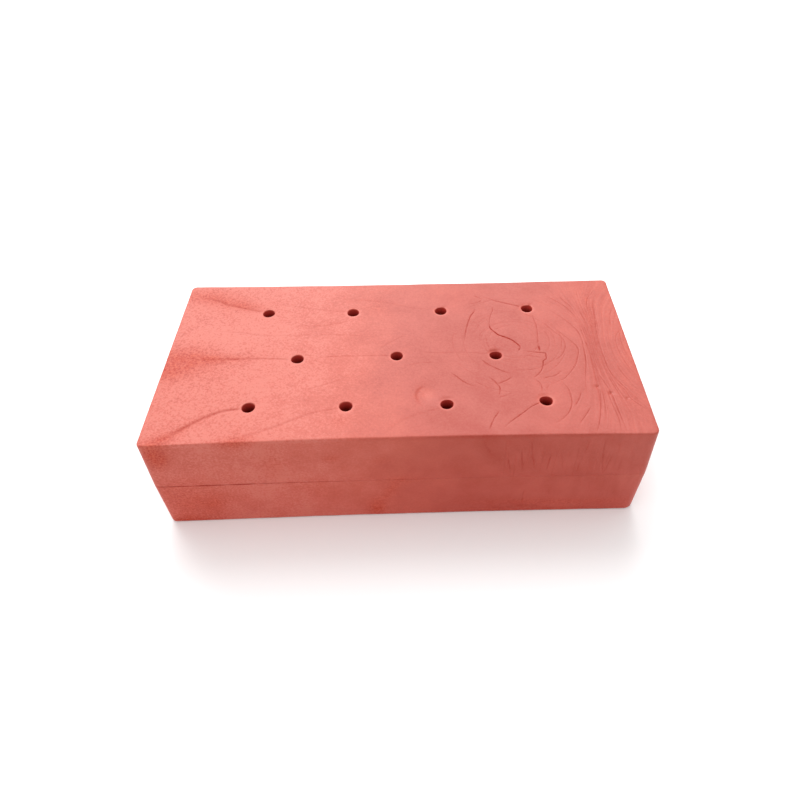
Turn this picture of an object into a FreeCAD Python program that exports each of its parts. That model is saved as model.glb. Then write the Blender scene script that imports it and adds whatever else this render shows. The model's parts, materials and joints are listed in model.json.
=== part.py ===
"""A bulk block of detailing clay: two slabs pressed together face to face, with eleven pin holes.

Units are millimetres.  +X runs along the block, +Y from its front side to its back side, and +Z up.
The origin is the centre of the face that the block rests on.  The seam is a level plane at half
height.  Each slab is lofted from its outline at the seam to its slightly smaller outline at its
outer face, and at both levels the long sides have sunk in a little between their corners.
"""
import FreeCAD, Part
import math
import os
import Sketcher

SHEET = "dims"
DIMENSIONS = [
    ("seam_length", 200.0, "over both ends, at the seam"),
    ("seam_width", 100.0, "over the corners of both long sides, at the seam"),
    ("seam_front_sink", 0.6, "how far the front side has sunk in at mid length, at the seam"),
    ("seam_back_sink", 0.5, "how far the back side has sunk in there"),
    ("top_length", 199.4, "over both ends, at the top face"),
    ("top_width", 99.6, "over the corners of both long sides, at the top face"),
    ("top_front_sink", 1.4, "how far the front side has sunk in at mid length, at the top face"),
    ("top_back_sink", 0.8, "how far the back side has sunk in there"),
    ("base_length", 199.0, "over both ends, at the resting face"),
    ("base_width", 99.6, "over the corners of both long sides, at the resting face"),
    ("base_front_sink", 0.7, "how far the front side has sunk in at mid length, at the resting face"),
    ("base_back_sink", 0.6, "how far the back side has sunk in there"),
    ("lower_thickness", 25.0, "from the resting face to the seam"),
    ("upper_thickness", 25.0, "from the seam to the top face"),
    ("corner_radius", 2.5, "the four upright corners"),
    ("face_edge_radius", 0.8, "the edge round the top face and round the resting face"),
    ("seam_edge_radius", 0.3, "each slab's edge at the seam, which makes the seam a fine groove"),
    ("pin_diameter", 5.2, "pin hole, straight through both slabs"),
    ("pin_mouth_radius", 0.3, "rounding of a pin hole's mouth"),
    ("rows_apart", 59.0, "from the front row of pins to the back row"),
    ("outer_pins_apart", 118.6, "along the block, between the two end pins of the front and the back row"),
    ("outer_pins_x", -1.2, "the middle of those four pins, from the block's"),
    ("outer_pins_y", -1.2, "the same across the block"),
    ("inner_pins_apart", 40.2, "along the block, between the two inner pins of the front and the back row"),
    ("inner_pins_x", -1.9, "the middle of those four pins, from the block's"),
    ("inner_pins_y", -1.8, "the same across the block"),
    ("middle_pins_apart", 84.7, "between the two end pins of the middle row"),
    ("middle_pins_x", -1.8, "the middle of those two pins, from the block's"),
    ("middle_pins_y", -3.0, "the same across the block"),
    ("centre_pin_x", -1.9, "the pin nearest the block's centre"),
    ("centre_pin_y", -2.3, "the same across the block"),
]
HEIGHTS = {
    "top": f"{SHEET}.lower_thickness + {SHEET}.upper_thickness",
    "seam": f"{SHEET}.lower_thickness",
    "base": "0",
}
HALVES = (-0.5, 0.5)

START, END, CENTRE = 1, 2, 3
ORIGIN, X_AXIS, Y_AXIS = -1, -1, -2
CLOSE = 1e-4    # a length in millimetres, or a share of a volume, that is as good as equal


def make_sheet(doc):
    """The spreadsheet that holds every driving dimension under its alias."""
    sheet = doc.addObject("Spreadsheet::Sheet", SHEET)
    for row, (alias, value, meaning) in enumerate(DIMENSIONS, start=1):
        sheet.set(f"A{row}", alias)
        sheet.set(f"B{row}", str(value))
        sheet.setAlias(f"B{row}", alias)
        sheet.set(f"C{row}", meaning)
    doc.recompute()
    return sheet


def level_sketch(body, name, height):
    """A sketch on the body's own XY plane, lifted to a height that is an expression."""
    sketch = body.newObject("Sketcher::SketchObject", name)
    plane = next(feature for feature in body.Origin.OriginFeatures if feature.Role == "XY_Plane")
    sketch.AttachmentSupport = (plane, "")
    sketch.MapMode = "FlatFace"
    sketch.setExpression("AttachmentOffset.Base.z", height)
    return sketch


def bind(sketch, name, constraint, expression):
    """Adds a dimension to a sketch, names it and ties it to an expression."""
    index = sketch.addConstraint(constraint)
    sketch.renameConstraint(index, name)
    sketch.setExpression(f"Constraints.{name}", expression)


def add_arc(sketch, start, middle, end):
    """An arc through three points, which must run counterclockwise."""
    return sketch.addGeometry(Part.Arc(*(FreeCAD.Vector(x, y, 0) for x, y in (start, middle, end))))


def add_corner(sketch, sheet, x, y, right, front):
    """A quarter round inside the corner at (x, y), which is on the right or left, in front or behind."""
    radius = sheet.corner_radius
    inward_x = -radius if right else radius
    inward_y = radius if front else -radius
    centre_x, centre_y = x + inward_x, y + inward_y
    bulge_x, bulge_y = centre_x - inward_x * math.sqrt(0.5), centre_y - inward_y * math.sqrt(0.5)
    on_end, on_side = (x, centre_y), (centre_x, y)
    first, last = (on_side, on_end) if right == front else (on_end, on_side)
    return add_arc(sketch, first, (bulge_x, bulge_y), last)


def add_deepest_point(sketch, side, y):
    """A construction point half way along a long side, on its arc."""
    point = sketch.addGeometry(Part.Point(FreeCAD.Vector(0, y, 0)), True)
    sketch.addConstraint(Sketcher.Constraint("PointOnObject", point, START, side))
    sketch.addConstraint(Sketcher.Constraint("PointOnObject", point, START, Y_AXIS))
    return point


def draw_outline(sketch, sheet, level):
    """The block's outline at the top, seam or base level, with each dimension tied to the sheet.

    The edges are added counterclockwise from the front side, and each is tangent to the next one.
    """
    length, width, front_sink, back_sink = (
        getattr(sheet, f"{level}_{name}") for name in ("length", "width", "front_sink", "back_sink")
    )
    x, y, radius = length / 2, width / 2, sheet.corner_radius
    side_x, end_y = x - radius, y - radius
    front = add_arc(sketch, (side_x, -y), (0, front_sink - y), (-side_x, -y))
    front_right = add_corner(sketch, sheet, x, -y, right=True, front=True)
    right = sketch.addGeometry(Part.LineSegment(FreeCAD.Vector(x, -end_y), FreeCAD.Vector(x, end_y)))
    back_right = add_corner(sketch, sheet, x, y, right=True, front=False)
    back = add_arc(sketch, (-side_x, y), (0, y - back_sink), (side_x, y))
    back_left = add_corner(sketch, sheet, -x, y, right=False, front=False)
    left = sketch.addGeometry(Part.LineSegment(FreeCAD.Vector(-x, end_y), FreeCAD.Vector(-x, -end_y)))
    front_left = add_corner(sketch, sheet, -x, -y, right=False, front=True)

    # each long side bulges inwards, so its arc runs the other way round from the outline
    meetings = [
        (front, START, front_right, START),
        (front_right, END, right, START),
        (right, END, back_right, START),
        (back_right, END, back, END),
        (back, START, back_left, START),
        (back_left, END, left, START),
        (left, END, front_left, START),
        (front_left, END, front, END),
    ]
    for meeting in meetings:
        sketch.addConstraint(Sketcher.Constraint("Tangent", *meeting))
    for corner in (back_right, back_left, front_left):
        sketch.addConstraint(Sketcher.Constraint("Equal", front_right, corner))
    sketch.addConstraint(Sketcher.Constraint("Symmetric", front, START, front, END, Y_AXIS))
    sketch.addConstraint(Sketcher.Constraint("Symmetric", back, START, back, END, Y_AXIS))
    sketch.addConstraint(Sketcher.Constraint("Symmetric", right, START, right, END, X_AXIS))

    front_deepest = add_deepest_point(sketch, front, front_sink - y)
    back_deepest = add_deepest_point(sketch, back, y - back_sink)
    dimensions = [
        ("corner_radius", ("Radius", front_right, radius)),
        (f"{level}_length", ("DistanceX", left, START, right, START, length)),
        (f"{level}_width", ("DistanceY", front, START, back, END, width)),
        (f"{level}_front_sink", ("DistanceY", front, START, front_deepest, START, front_sink)),
        (f"{level}_back_sink", ("DistanceY", back_deepest, START, back, END, back_sink)),
    ]
    for alias, constraint in dimensions:
        bind(sketch, alias, Sketcher.Constraint(*constraint), f"{SHEET}.{alias}")


def pin_places():
    """The x and y expressions of every pin: four outer, four inner, two in the middle row and one."""
    places = []
    for group in ("outer", "inner"):
        for along in HALVES:
            for across in HALVES:
                x = f"{SHEET}.{group}_pins_x + ({along}) * {SHEET}.{group}_pins_apart"
                y = f"{SHEET}.{group}_pins_y + ({across}) * {SHEET}.rows_apart"
                places.append((x, y))
    for along in HALVES:
        x = f"{SHEET}.middle_pins_x + ({along}) * {SHEET}.middle_pins_apart"
        places.append((x, f"{SHEET}.middle_pins_y"))
    places.append((f"{SHEET}.centre_pin_x", f"{SHEET}.centre_pin_y"))
    return places


def draw_pins(sketch, sheet):
    """A circle for every pin, each placed from the block's centre."""
    radius = sheet.pin_diameter / 2
    for number, (x, y) in enumerate(pin_places(), start=1):
        start_at = FreeCAD.Vector(number * sheet.pin_diameter, 0, 0)
        circle = sketch.addGeometry(Part.Circle(start_at, FreeCAD.Vector(0, 0, 1), radius))
        from_centre = (ORIGIN, START, circle, CENTRE)
        bind(sketch, f"pin{number}_x", Sketcher.Constraint("DistanceX", *from_centre, start_at.x), x)
        bind(sketch, f"pin{number}_y", Sketcher.Constraint("DistanceY", *from_centre, 0.0), y)
        across = Sketcher.Constraint("Diameter", circle, sheet.pin_diameter)
        bind(sketch, f"pin{number}_diameter", across, f"{SHEET}.pin_diameter")


def edge_names(shape, wanted):
    """The names of those edges of a shape that pass a test."""
    return [f"Edge{n}" for n, edge in enumerate(shape.Edges, start=1) if wanted(edge)]


def is_level_at(edge, height):
    """Whether an edge lies in a level plane at a height."""
    return all(abs(vertex.Z - height) < CLOSE for vertex in edge.Vertexes)


def round_edges(body, name, radius_alias, wanted):
    """Rounds those edges of the body's newest feature that pass a test."""
    base = body.Tip
    fillet = body.newObject("PartDesign::Fillet", f"{body.Name}{name}")
    fillet.Base = (base, edge_names(base.Shape, wanted))
    fillet.setExpression("Radius", f"{SHEET}.{radius_alias}")
    body.Document.recompute()
    if not fillet.Shape.isValid():
        raise RuntimeError(f"{body.Label}: {name} isn't valid")


def is_pin_mouth(edge, height, sheet):
    """Whether an edge is the full circle of a pin hole at a height."""
    is_circle = isinstance(edge.Curve, Part.Circle) and edge.isClosed()
    return is_circle and is_level_at(edge, height) and edge.Curve.Radius < sheet.pin_diameter


def bore_pins(body, sheet, outer_height, rise):
    """Cuts the pin holes from the outer face to the seam, which is a rise above it, or a fall."""
    blank_volume = body.Shape.Volume
    pins = level_sketch(body, f"{body.Name}Pins", outer_height)
    draw_pins(pins, sheet)
    body.Document.recompute()
    bores = body.newObject("PartDesign::Pocket", f"{body.Name}Bores")
    bores.Profile = pins
    bores.Type = "ThroughAll"
    bores.Reversed = rise > 0
    body.Document.recompute()
    taken = blank_volume - body.Shape.Volume
    pin_area = math.pi * sheet.pin_diameter**2 / 4
    expected = len(pin_places()) * pin_area * abs(rise)
    if abs(taken - expected) > CLOSE * expected:
        raise RuntimeError(f"{body.Label}: the pins took {taken:.1f} mm3, not {expected:.1f}")


def make_slab(doc, sheet, label, upper_level, lower_level):
    """One slab between two levels, of which the one that isn't the seam is its outer face."""
    body = doc.addObject("PartDesign::Body", label.title().replace("_", ""))
    body.Label = label
    outlines = {}
    for level in (upper_level, lower_level):
        outlines[level] = level_sketch(body, f"{body.Name}{level.title()}", HEIGHTS[level])
        draw_outline(outlines[level], sheet, level)
    doc.recompute()
    loft = body.newObject("PartDesign::AdditiveLoft", f"{body.Name}Loft")
    loft.Profile = outlines[upper_level]
    loft.Sections = [outlines[lower_level]]
    loft.Ruled = True
    doc.recompute()

    outer_level = upper_level if lower_level == "seam" else lower_level
    outer_z = outlines[outer_level].Placement.Base.z
    seam_z = outlines["seam"].Placement.Base.z
    round_edges(body, "FaceEdge", "face_edge_radius", lambda edge: is_level_at(edge, outer_z))
    round_edges(body, "SeamEdge", "seam_edge_radius", lambda edge: is_level_at(edge, seam_z))
    bore_pins(body, sheet, HEIGHTS[outer_level], rise=seam_z - outer_z)
    round_edges(body, "PinMouths", "pin_mouth_radius", lambda edge: is_pin_mouth(edge, outer_z, sheet))
    return body


def check(doc, bodies):
    """Stops the build if anything in the document failed or a slab isn't one valid solid."""
    for thing in doc.Objects:
        if {"Invalid", "Error"} & set(thing.State):
            raise RuntimeError(f"{thing.Name} failed: {thing.State}")
    for body in bodies:
        shape = body.Shape
        if shape.isNull() or not shape.isValid() or len(shape.Solids) != 1:
            raise RuntimeError(f"{body.Label} isn't one valid solid")
        box = shape.BoundBox
        print(
            f"{body.Label}: {shape.Volume / 1000:.2f} cm3, x {box.XMin:.2f} to {box.XMax:.2f}, "
            f"y {box.YMin:.2f} to {box.YMax:.2f}, z {box.ZMin:.2f} to {box.ZMax:.2f}"
        )


def main():
    doc = FreeCAD.newDocument("clay_bar")
    sheet = make_sheet(doc)
    bodies = [
        make_slab(doc, sheet, "lower_slab", upper_level="seam", lower_level="base"),
        make_slab(doc, sheet, "upper_slab", upper_level="top", lower_level="seam"),
    ]
    doc.recompute()
    check(doc, bodies)
    os.makedirs("parts", exist_ok=True)
    for body in bodies:
        body.Shape.exportStep(f"parts/{body.Label}.step")


main()
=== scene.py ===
"""The looks of a block of detailing clay: two moulded slabs, pressed together at a level seam.

Lengths in this script are millimetres in the model's own frame, and become metres where a mesh, a
light or the camera is made.  Each slab is drawn with its outer face up: a height is counted from
the seam, and the lower slab's heights are then turned downwards.
"""
import json
import math
import random

import bpy
import numpy as np
from mathutils import Matrix, Vector, noise
from mathutils.geometry import delaunay_2d_cdt


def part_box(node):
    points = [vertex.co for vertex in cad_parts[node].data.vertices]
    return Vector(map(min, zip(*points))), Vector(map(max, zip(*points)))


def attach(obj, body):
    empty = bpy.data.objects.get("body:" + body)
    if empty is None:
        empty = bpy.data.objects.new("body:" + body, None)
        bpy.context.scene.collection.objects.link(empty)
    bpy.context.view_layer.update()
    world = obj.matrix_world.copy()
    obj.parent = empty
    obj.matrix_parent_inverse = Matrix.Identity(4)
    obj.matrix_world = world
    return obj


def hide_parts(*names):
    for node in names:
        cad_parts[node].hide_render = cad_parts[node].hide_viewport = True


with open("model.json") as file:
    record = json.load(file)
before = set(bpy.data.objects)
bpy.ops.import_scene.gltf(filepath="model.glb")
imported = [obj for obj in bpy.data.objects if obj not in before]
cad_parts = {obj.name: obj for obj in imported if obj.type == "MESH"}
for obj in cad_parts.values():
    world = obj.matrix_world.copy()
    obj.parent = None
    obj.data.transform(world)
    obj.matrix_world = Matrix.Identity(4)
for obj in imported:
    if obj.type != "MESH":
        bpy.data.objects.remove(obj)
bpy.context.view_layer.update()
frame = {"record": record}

MM = 0.001
SEED = 7


# ---- sizes read from the model

def node_box(node):
    """A node's lowest and highest corner, in millimetres."""
    low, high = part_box(node)
    return np.array(low) / MM, np.array(high) / MM


LOWER_LOW, LOWER_HIGH = node_box("lower_slab")
UPPER_LOW, UPPER_HIGH = node_box("upper_slab")
SEAM_Z = (LOWER_HIGH[2] + UPPER_LOW[2]) / 2
THICKNESS = {"upper": UPPER_HIGH[2] - SEAM_Z, "lower": SEAM_Z - LOWER_LOW[2]}
HALF_LENGTH = (UPPER_HIGH[0] - UPPER_LOW[0]) / 2
HALF_WIDTH = (UPPER_HIGH[1] - UPPER_LOW[1]) / 2


def pin_holes():
    """The centre and radius of every pin hole, from the mounts in the record."""
    holes = []
    for mount in frame["record"]["mounts"]:
        dims = mount["dims"]
        x, y = (value / MM for value in mount["pos_m"][:2])
        if mount["kind"] == "bore":
            holes.append((x, y, dims["r_mm"]))
        if mount["kind"] == "bolt_pattern":
            half_x = dims["spacing_x_mm"] / 2
            half_y = dims.get("spacing_y_mm", 0) / 2
            places = {(x + i * half_x, y + j * half_y) for i in (-1, 1) for j in (-1, 1)}
            holes += [(px, py, dims["hole_r_mm"]) for px, py in sorted(places)]
    return sorted(holes)


HOLES = pin_holes()
PIN_RADIUS = HOLES[0][2]
ROW_PITCH = max(y for x, y, radius in HOLES)


# ---- the block's outline

CORNER_RADIUS = 2.5
CORNER_STEPS = 6
SIDE_STEP = 0.9
STREAK_STEP = 0.36          # finer steps along the front where its streaks are
STREAKS_FROM, STREAKS_TO = 30.0, 86.0

# At the seam and at each slab's outer face: how far the ends and long sides lean in, how far the
# front and the back have sunk in at mid length, and how much rounder the worn front right corner is.
OUTLINES = {
    "upper": {
        "end": (0.0, 0.3), "side": (0.0, 0.2), "front": (0.6, 1.4), "back": (0.5, 0.8), "worn": (0.4, 0.5),
    },
    "lower": {
        "end": (0.0, 0.5), "side": (0.0, 0.2), "front": (0.6, 0.7), "back": (0.5, 0.6), "worn": (0.4, 1.8),
    },
}
FALL_OFF = 6                # power that keeps what is worn or sunk away from the other walls


def side_stations(low, high, step_at):
    """Places from low to high, spaced by a step that may depend on the place."""
    places = [low]
    while places[-1] + step_at(places[-1]) < high:
        places.append(places[-1] + step_at(places[-1]))
    stretch = (high - low) / (places[-1] - low)
    return low + (np.array(places) - low) * stretch


def perimeter():
    """Stations counterclockwise round the outline, as four arrays.

    reach_x and reach_y run from -1 to 1 along the straight stretches, and normal_x and normal_y
    are the outward normal, which turns round each corner.
    """
    def front_step(x):
        return STREAK_STEP if STREAKS_FROM < x < STREAKS_TO else SIDE_STEP

    straight_x = HALF_LENGTH - CORNER_RADIUS
    straight_y = HALF_WIDTH - CORNER_RADIUS
    front = side_stations(-straight_x, straight_x, front_step) / straight_x
    back = side_stations(-straight_x, straight_x, lambda x: SIDE_STEP)[::-1] / straight_x
    rise = side_stations(-straight_y, straight_y, lambda y: SIDE_STEP) / straight_y
    quarter = np.linspace(0, math.pi / 2, CORNER_STEPS + 1)[1:-1]
    rows = []
    for side, values in enumerate((front, rise, back, rise[::-1])):
        normal_angle = (side - 1) * math.pi / 2
        corner_x = 1 if side in (0, 1) else -1
        corner_y = 1 if side in (1, 2) else -1
        for value in values:
            along = ((value, -1), (1, value), (value, 1), (-1, value))[side]
            rows.append((*along, math.cos(normal_angle), math.sin(normal_angle)))
        for turn in quarter:
            angle = normal_angle + turn
            rows.append((corner_x, corner_y, math.cos(angle), math.sin(angle)))
    return np.array(rows).T


REACH_X, REACH_Y, NORMAL_X, NORMAL_Y = perimeter()
STATIONS = len(REACH_X)


def outline_at(slab, height, inset):
    """The outline at a height above the seam, moved inwards by an inset; both may be arrays."""
    shape = OUTLINES[slab]
    share = np.clip(height / THICKNESS[slab], 0, 1)

    def blend(name):
        at_seam, at_face = shape[name]
        return at_seam + (at_face - at_seam) * share

    half_x = HALF_LENGTH - blend("end")
    half_y = HALF_WIDTH - blend("side")
    worn = np.clip(REACH_X, 0, 1) ** FALL_OFF * np.clip(-REACH_Y, 0, 1) ** FALL_OFF
    radius = CORNER_RADIUS + worn * blend("worn")
    x = REACH_X * (half_x - radius) + radius * NORMAL_X
    y = REACH_Y * (half_y - radius) + radius * NORMAL_Y
    sink = np.where(REACH_Y < 0, blend("front"), blend("back"))
    y = y - np.sign(REACH_Y) * np.abs(REACH_Y) ** FALL_OFF * sink * (1 - (x / half_x) ** 2)
    return np.stack([x - inset * NORMAL_X, y - inset * NORMAL_Y], axis=1)


# ---- lines in the surface

SAMPLE_STEP = 0.4           # between the samples along a line
LINE_REACH = 3              # half widths from a line to where it no longer shows
UNEVEN, UNEVEN_PITCH = 0.5, 0.45


class Line:
    """A crease, fold or flow line: a smooth curve, dark and sunken by its uneven strength.

    fade is the share of its length over which it fades in at its start and out at its end.
    """

    def __init__(self, points, strength, half_width, widen=1.0, fade=(0.15, 0.25)):
        self.samples = smooth_curve(points, SAMPLE_STEP)
        self.low = self.samples.min(axis=0)
        self.high = self.samples.max(axis=0)
        along = np.linspace(0, 1, len(self.samples))
        self.half_width = half_width * (1 + (widen - 1) * along)
        fade_in = np.clip(along / fade[0], 0, 1)
        fade_out = np.clip((1 - along) / fade[1], 0, 1)
        places = self.samples * UNEVEN_PITCH
        uneven = np.array([noise.noise(Vector((x, y, 3.1))) for x, y in places])
        self.strength = strength * fade_in * fade_out * (1 + UNEVEN * uneven)


def smooth_curve(points, step):
    """Points about a step apart along a Catmull-Rom curve through the given points."""
    points = np.array(points, dtype=float)
    ends = np.vstack([2 * points[0] - points[1], points, 2 * points[-1] - points[-2]])
    pieces = []
    for a, b, c, d in zip(ends, ends[1:], ends[2:], ends[3:]):
        count = max(2, int(math.ceil(np.linalg.norm(c - b) / step)))
        t = np.linspace(0, 1, count, endpoint=False)[:, None]
        pieces.append(
            0.5 * (2 * b + (c - a) * t + (2 * a - 5 * b + 4 * c - d) * t**2 + (3 * b - a - 3 * c + d) * t**3)
        )
    return np.vstack(pieces + [points[-1:]])


def lay_lines(points, lines):
    """How dark, from 0 to 1, the lines make each point of a flat face."""
    shade = np.zeros(len(points))
    for line in lines:
        margin = LINE_REACH * line.half_width.max()
        inside = np.all((points > line.low - margin) & (points < line.high + margin), axis=1)
        near = np.flatnonzero(inside)
        if len(near) == 0:
            continue
        gaps = points[near][:, None, :] - line.samples[None, :, :]
        distance = np.linalg.norm(gaps, axis=2)
        profile = line.strength * np.exp(-((distance / line.half_width) ** 2))
        shade[near] = np.maximum(shade[near], profile.max(axis=1))
    return shade


FRONT, MIDDLE, BACK = -1, 0, 1


def pin_at(row, place):
    """The centre of a pin hole in the front, middle or back row; place counts from the left."""
    in_row = [hole for hole in HOLES if round(hole[1] / ROW_PITCH) == row]
    return np.array(in_row[place][:2])


# Flow lines left of the pins, where the clay met again behind each one, and painted shade at one far rim:
# the pin, points from its centre, and then the line's strength, its half width and how much it widens.
WELDS = [
    (MIDDLE, 0, [(-3, -0.2), (-9, 0.4), (-16, 0.7), (-28, 0.6), (-40, 0.8), (-50, 1.4)], 0.33, 0.4, 2.4),
    (BACK, 0, [(-2.6, 1.2), (-9, 3), (-15, 5.3), (-20, 7), (-25, 10.2), (-36, 14)], 0.36, 0.5, 2.0),
    (BACK, 1, [(-2.6, 0.5), (-10, 1.4), (-20, 3.6), (-33, 7), (-46, 11)], 0.16, 0.5, 1.6),
    (BACK, 2, [(-2.7, 1), (-12, 2.2), (-20, 5), (-30, 8), (-46, 10), (-62, 12)], 0.12, 0.5, 1.6),
    (BACK, 3, [(-2.8, 1.5), (-8, 3.6), (-14, 6.2), (-20.5, 10)], 0.46, 0.3, 1.4),
    (MIDDLE, 1, [(-2.8, 0.2), (-16, 0.4), (-30, 0.2), (-40, -1.2)], 0.24, 0.35, 1.2),
    (MIDDLE, 2, [(-2.8, 0.6), (-13, 2), (-24, 2), (-36, 2.8)], 0.18, 0.35, 1.2),
    (FRONT, 0, [(-2.5, -0.6), (-9, -1.5), (-15, -4.2), (-20, -7.6), (-26, -12.4),
        (-34.5, -18.6)], 0.5, 0.6, 1.8),
    (FRONT, 1, [(-2.6, -1), (-12, -3), (-19, -6), (-28, -10.5), (-37, -14.2), (-46, -18)], 0.24, 0.45, 2.2),
    (FRONT, 2, [(-2.6, -2), (-11, -5), (-19, -9), (-26, -16.5)], 0.14, 0.5, 1.6),
    (FRONT, 3, [(-2.5, -1), (-6, -3), (-10.3, -6.6), (-15, -10.5), (-19, -14.4)], 0.52, 0.22, 1.2),
    # painted shade on the sunken far rim of the last pin in the middle row
    (MIDDLE, 2, [(2.5, 1.3), (1.5, 2.4), (-0.2, 2.85), (-1.8, 2.3), (-2.6, 1.2)], 0.4, 0.75, 1.0),
]

# Creases where the cooling skin folded over itself, and painted shade in the dent: strength, half width and
# points.
CREASES = [
    # the long S-shaped crack, faint at its back end, and open and hooked at its front end
    (0.34, 0.23, [(42.2, 30.6), (42.3, 27.7), (41.3, 25), (40.3, 21.4), (39.8, 17.9), (40, 14.6)]),
    (1.0, 0.26, [(39.8, 19), (39.8, 16.6), (40, 14.6), (41.6, 12.1), (43.2, 10.1), (45.7, 8.6), (48.6, 6.6),
        (50.7, 3.9), (51.8, 1.6), (50.8, -0.8)]),
    (0.7, 0.24, [(50, 4.8), (51.4, 2.8), (51.7, 1.4), (51.1, -0.1), (50.4, -1.3)]),
    # the crack beside it, and the folds behind it
    (0.55, 0.26, [(34.3, 29.6), (33.6, 26.8), (31.8, 23.6), (30.4, 19.3), (29.3, 15), (28.6, 11.4),
        (27.7, 7.1), (27.5, 5)]),
    (0.3, 0.29, [(38.4, 35.8), (36.4, 37.2), (34, 38.8)]),
    (0.26, 0.33, [(38.2, 35.7), (36, 33.6), (33.4, 32.8), (31, 33)]),
    # from the S-crack's front end, round a square corner and on to the front
    (0.66, 0.22, [(52.2, -0.9), (55.7, -1.4), (59.3, -2.1), (61.8, -2.5), (62.3, -2.6), (62.3, -3.1),
        (62.1, -5.8), (61.8, -6.4), (61, -7), (60.5, -7.6), (60.1, -10), (58.9, -13.2), (57.1, -15.7),
        (55.4, -17.1), (53.4, -18.2)]),
    (0.34, 0.22, [(53.5, -3.6), (57, -4.6), (61, -5.6)]),
    # a broken line from the right-hand pin of the back row
    (0.34, 0.26, [(60.1, 25), (60.4, 20), (60.9, 15.7), (60.6, 10), (60, 5.7), (60, 0.7), (60.1, -1.4)]),
    (0.7, 0.45, [(59.9, 2.4), (60, 0.6), (60.1, -1.2)]),
    # two arcs, one inside the other
    (0.32, 0.25, [(61.8, 19.3), (64.6, 17.6), (66.4, 14.6), (68.6, 11.1), (70.9, 7.9), (71.8, 4.3),
        (71.4, 0.7), (70, -2.5), (67.9, -5.4), (65, -7.5), (61.4, -9.5)]),
    (0.32, 0.25, [(66.2, 16.4), (68.6, 14.3), (72.1, 8.9), (74.3, 5.7), (76.3, 2.1), (76.8, -1.4),
        (75.4, -6.4), (73.6, -10.7), (70.7, -15), (67.9, -18.2), (65.7, -19.6), (62.9, -21.1),
        (60, -22.6)]),
    (0.36, 0.24, [(66, -19.4), (68.2, -24.3), (68.6, -28.6), (68.2, -32.9), (66.4, -37.1), (64.3, -39.6),
        (61.8, -41.8), (58.6, -43.4)]),
    (0.28, 0.29, [(58.6, -18.6), (60.6, -17.6), (63.6, -16.8), (65.7, -15.4), (67.9, -12.9)]),
    (0.3, 0.26, [(55.4, -18.6), (57, -20.6), (57.6, -22.8), (57.5, -26)]),
    (0.22, 0.26, [(61, -21.8), (59.8, -23.4), (59.6, -26)]),
    # the folds between the middle and the front row
    (0.5, 0.29, [(34, -5.4), (36.8, -8.9), (40, -11.4), (43.2, -13.6), (46, -14.8)]),
    (0.45, 0.29, [(20.6, -13.4), (22.9, -15.7), (25.7, -18.9), (28.6, -21.1), (31.4, -22)]),
    (0.5, 0.26, [(36.2, -16.6), (38.2, -18.6), (39.4, -20.7), (40.4, -22.9), (40, -25.7), (38.9, -28.6)]),
    (0.46, 0.29, [(39.4, -20.8), (42.1, -19.5), (44.3, -18.2), (46.4, -16.6)]),
    (0.24, 0.33, [(38.9, -28.6), (41.1, -27.9), (43.6, -26.8), (46, -25.6)]),
    (0.46, 0.23, [(39, -35.6), (36.8, -38.9), (35.4, -41.8), (33.8, -46)]),
    (0.36, 0.26, [(73.2, -26.4), (72.1, -29.3), (70.8, -31.6), (69, -34.4)]),
    (0.38, 0.23, [(75.6, -34.6), (72.9, -38.6), (71, -41.2), (69, -44)]),
    # painted shade along the shaded left side of the dent beside the third pin of the front row
    (0.13, 0.45, [(8, -20.8), (6.4, -23.4), (5.7, -26.4), (6.5, -29.4), (9, -32), (13, -33.2)]),
    # arcs towards the back right corner
    (0.36, 0.25, [(68.2, 37.6), (70.4, 35.8), (72.9, 33.2), (76.4, 29), (79, 23.6), (80.4, 19)]),
    (0.34, 0.29, [(74.8, 37), (76.4, 33.6), (77.9, 31), (80, 26.4)]),
    (0.32, 0.24, [(66.8, 29), (68.8, 26.6), (71.4, 23.6), (74.3, 20), (76.8, 15.7), (78.9, 11.4),
        (79.6, 5.7), (79.3, -1.4), (78.9, -7.1), (77.5, -14.3), (76.1, -21.4), (75.2, -28)]),
    # faint flow marks over the left half
    (0.16, 0.5, [(-86, 16.6), (-71, 15), (-60, 12.6), (-43, 12.4), (-26, 12), (-8, 10)]),
    (0.2, 0.45, [(-50, 19.4), (-37, 18.6), (-28.6, 20), (-22.6, 21.6)]),
    (0.2, 0.4, [(-38.6, -21.6), (-28.6, -17.9), (-22.6, -14.8)]),
    (0.16, 0.4, [(-10, 2), (-4, 7), (3, 12)]),
    (0.14, 0.4, [(0, -9), (9, -7), (16, -7.4)]),
]

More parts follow.
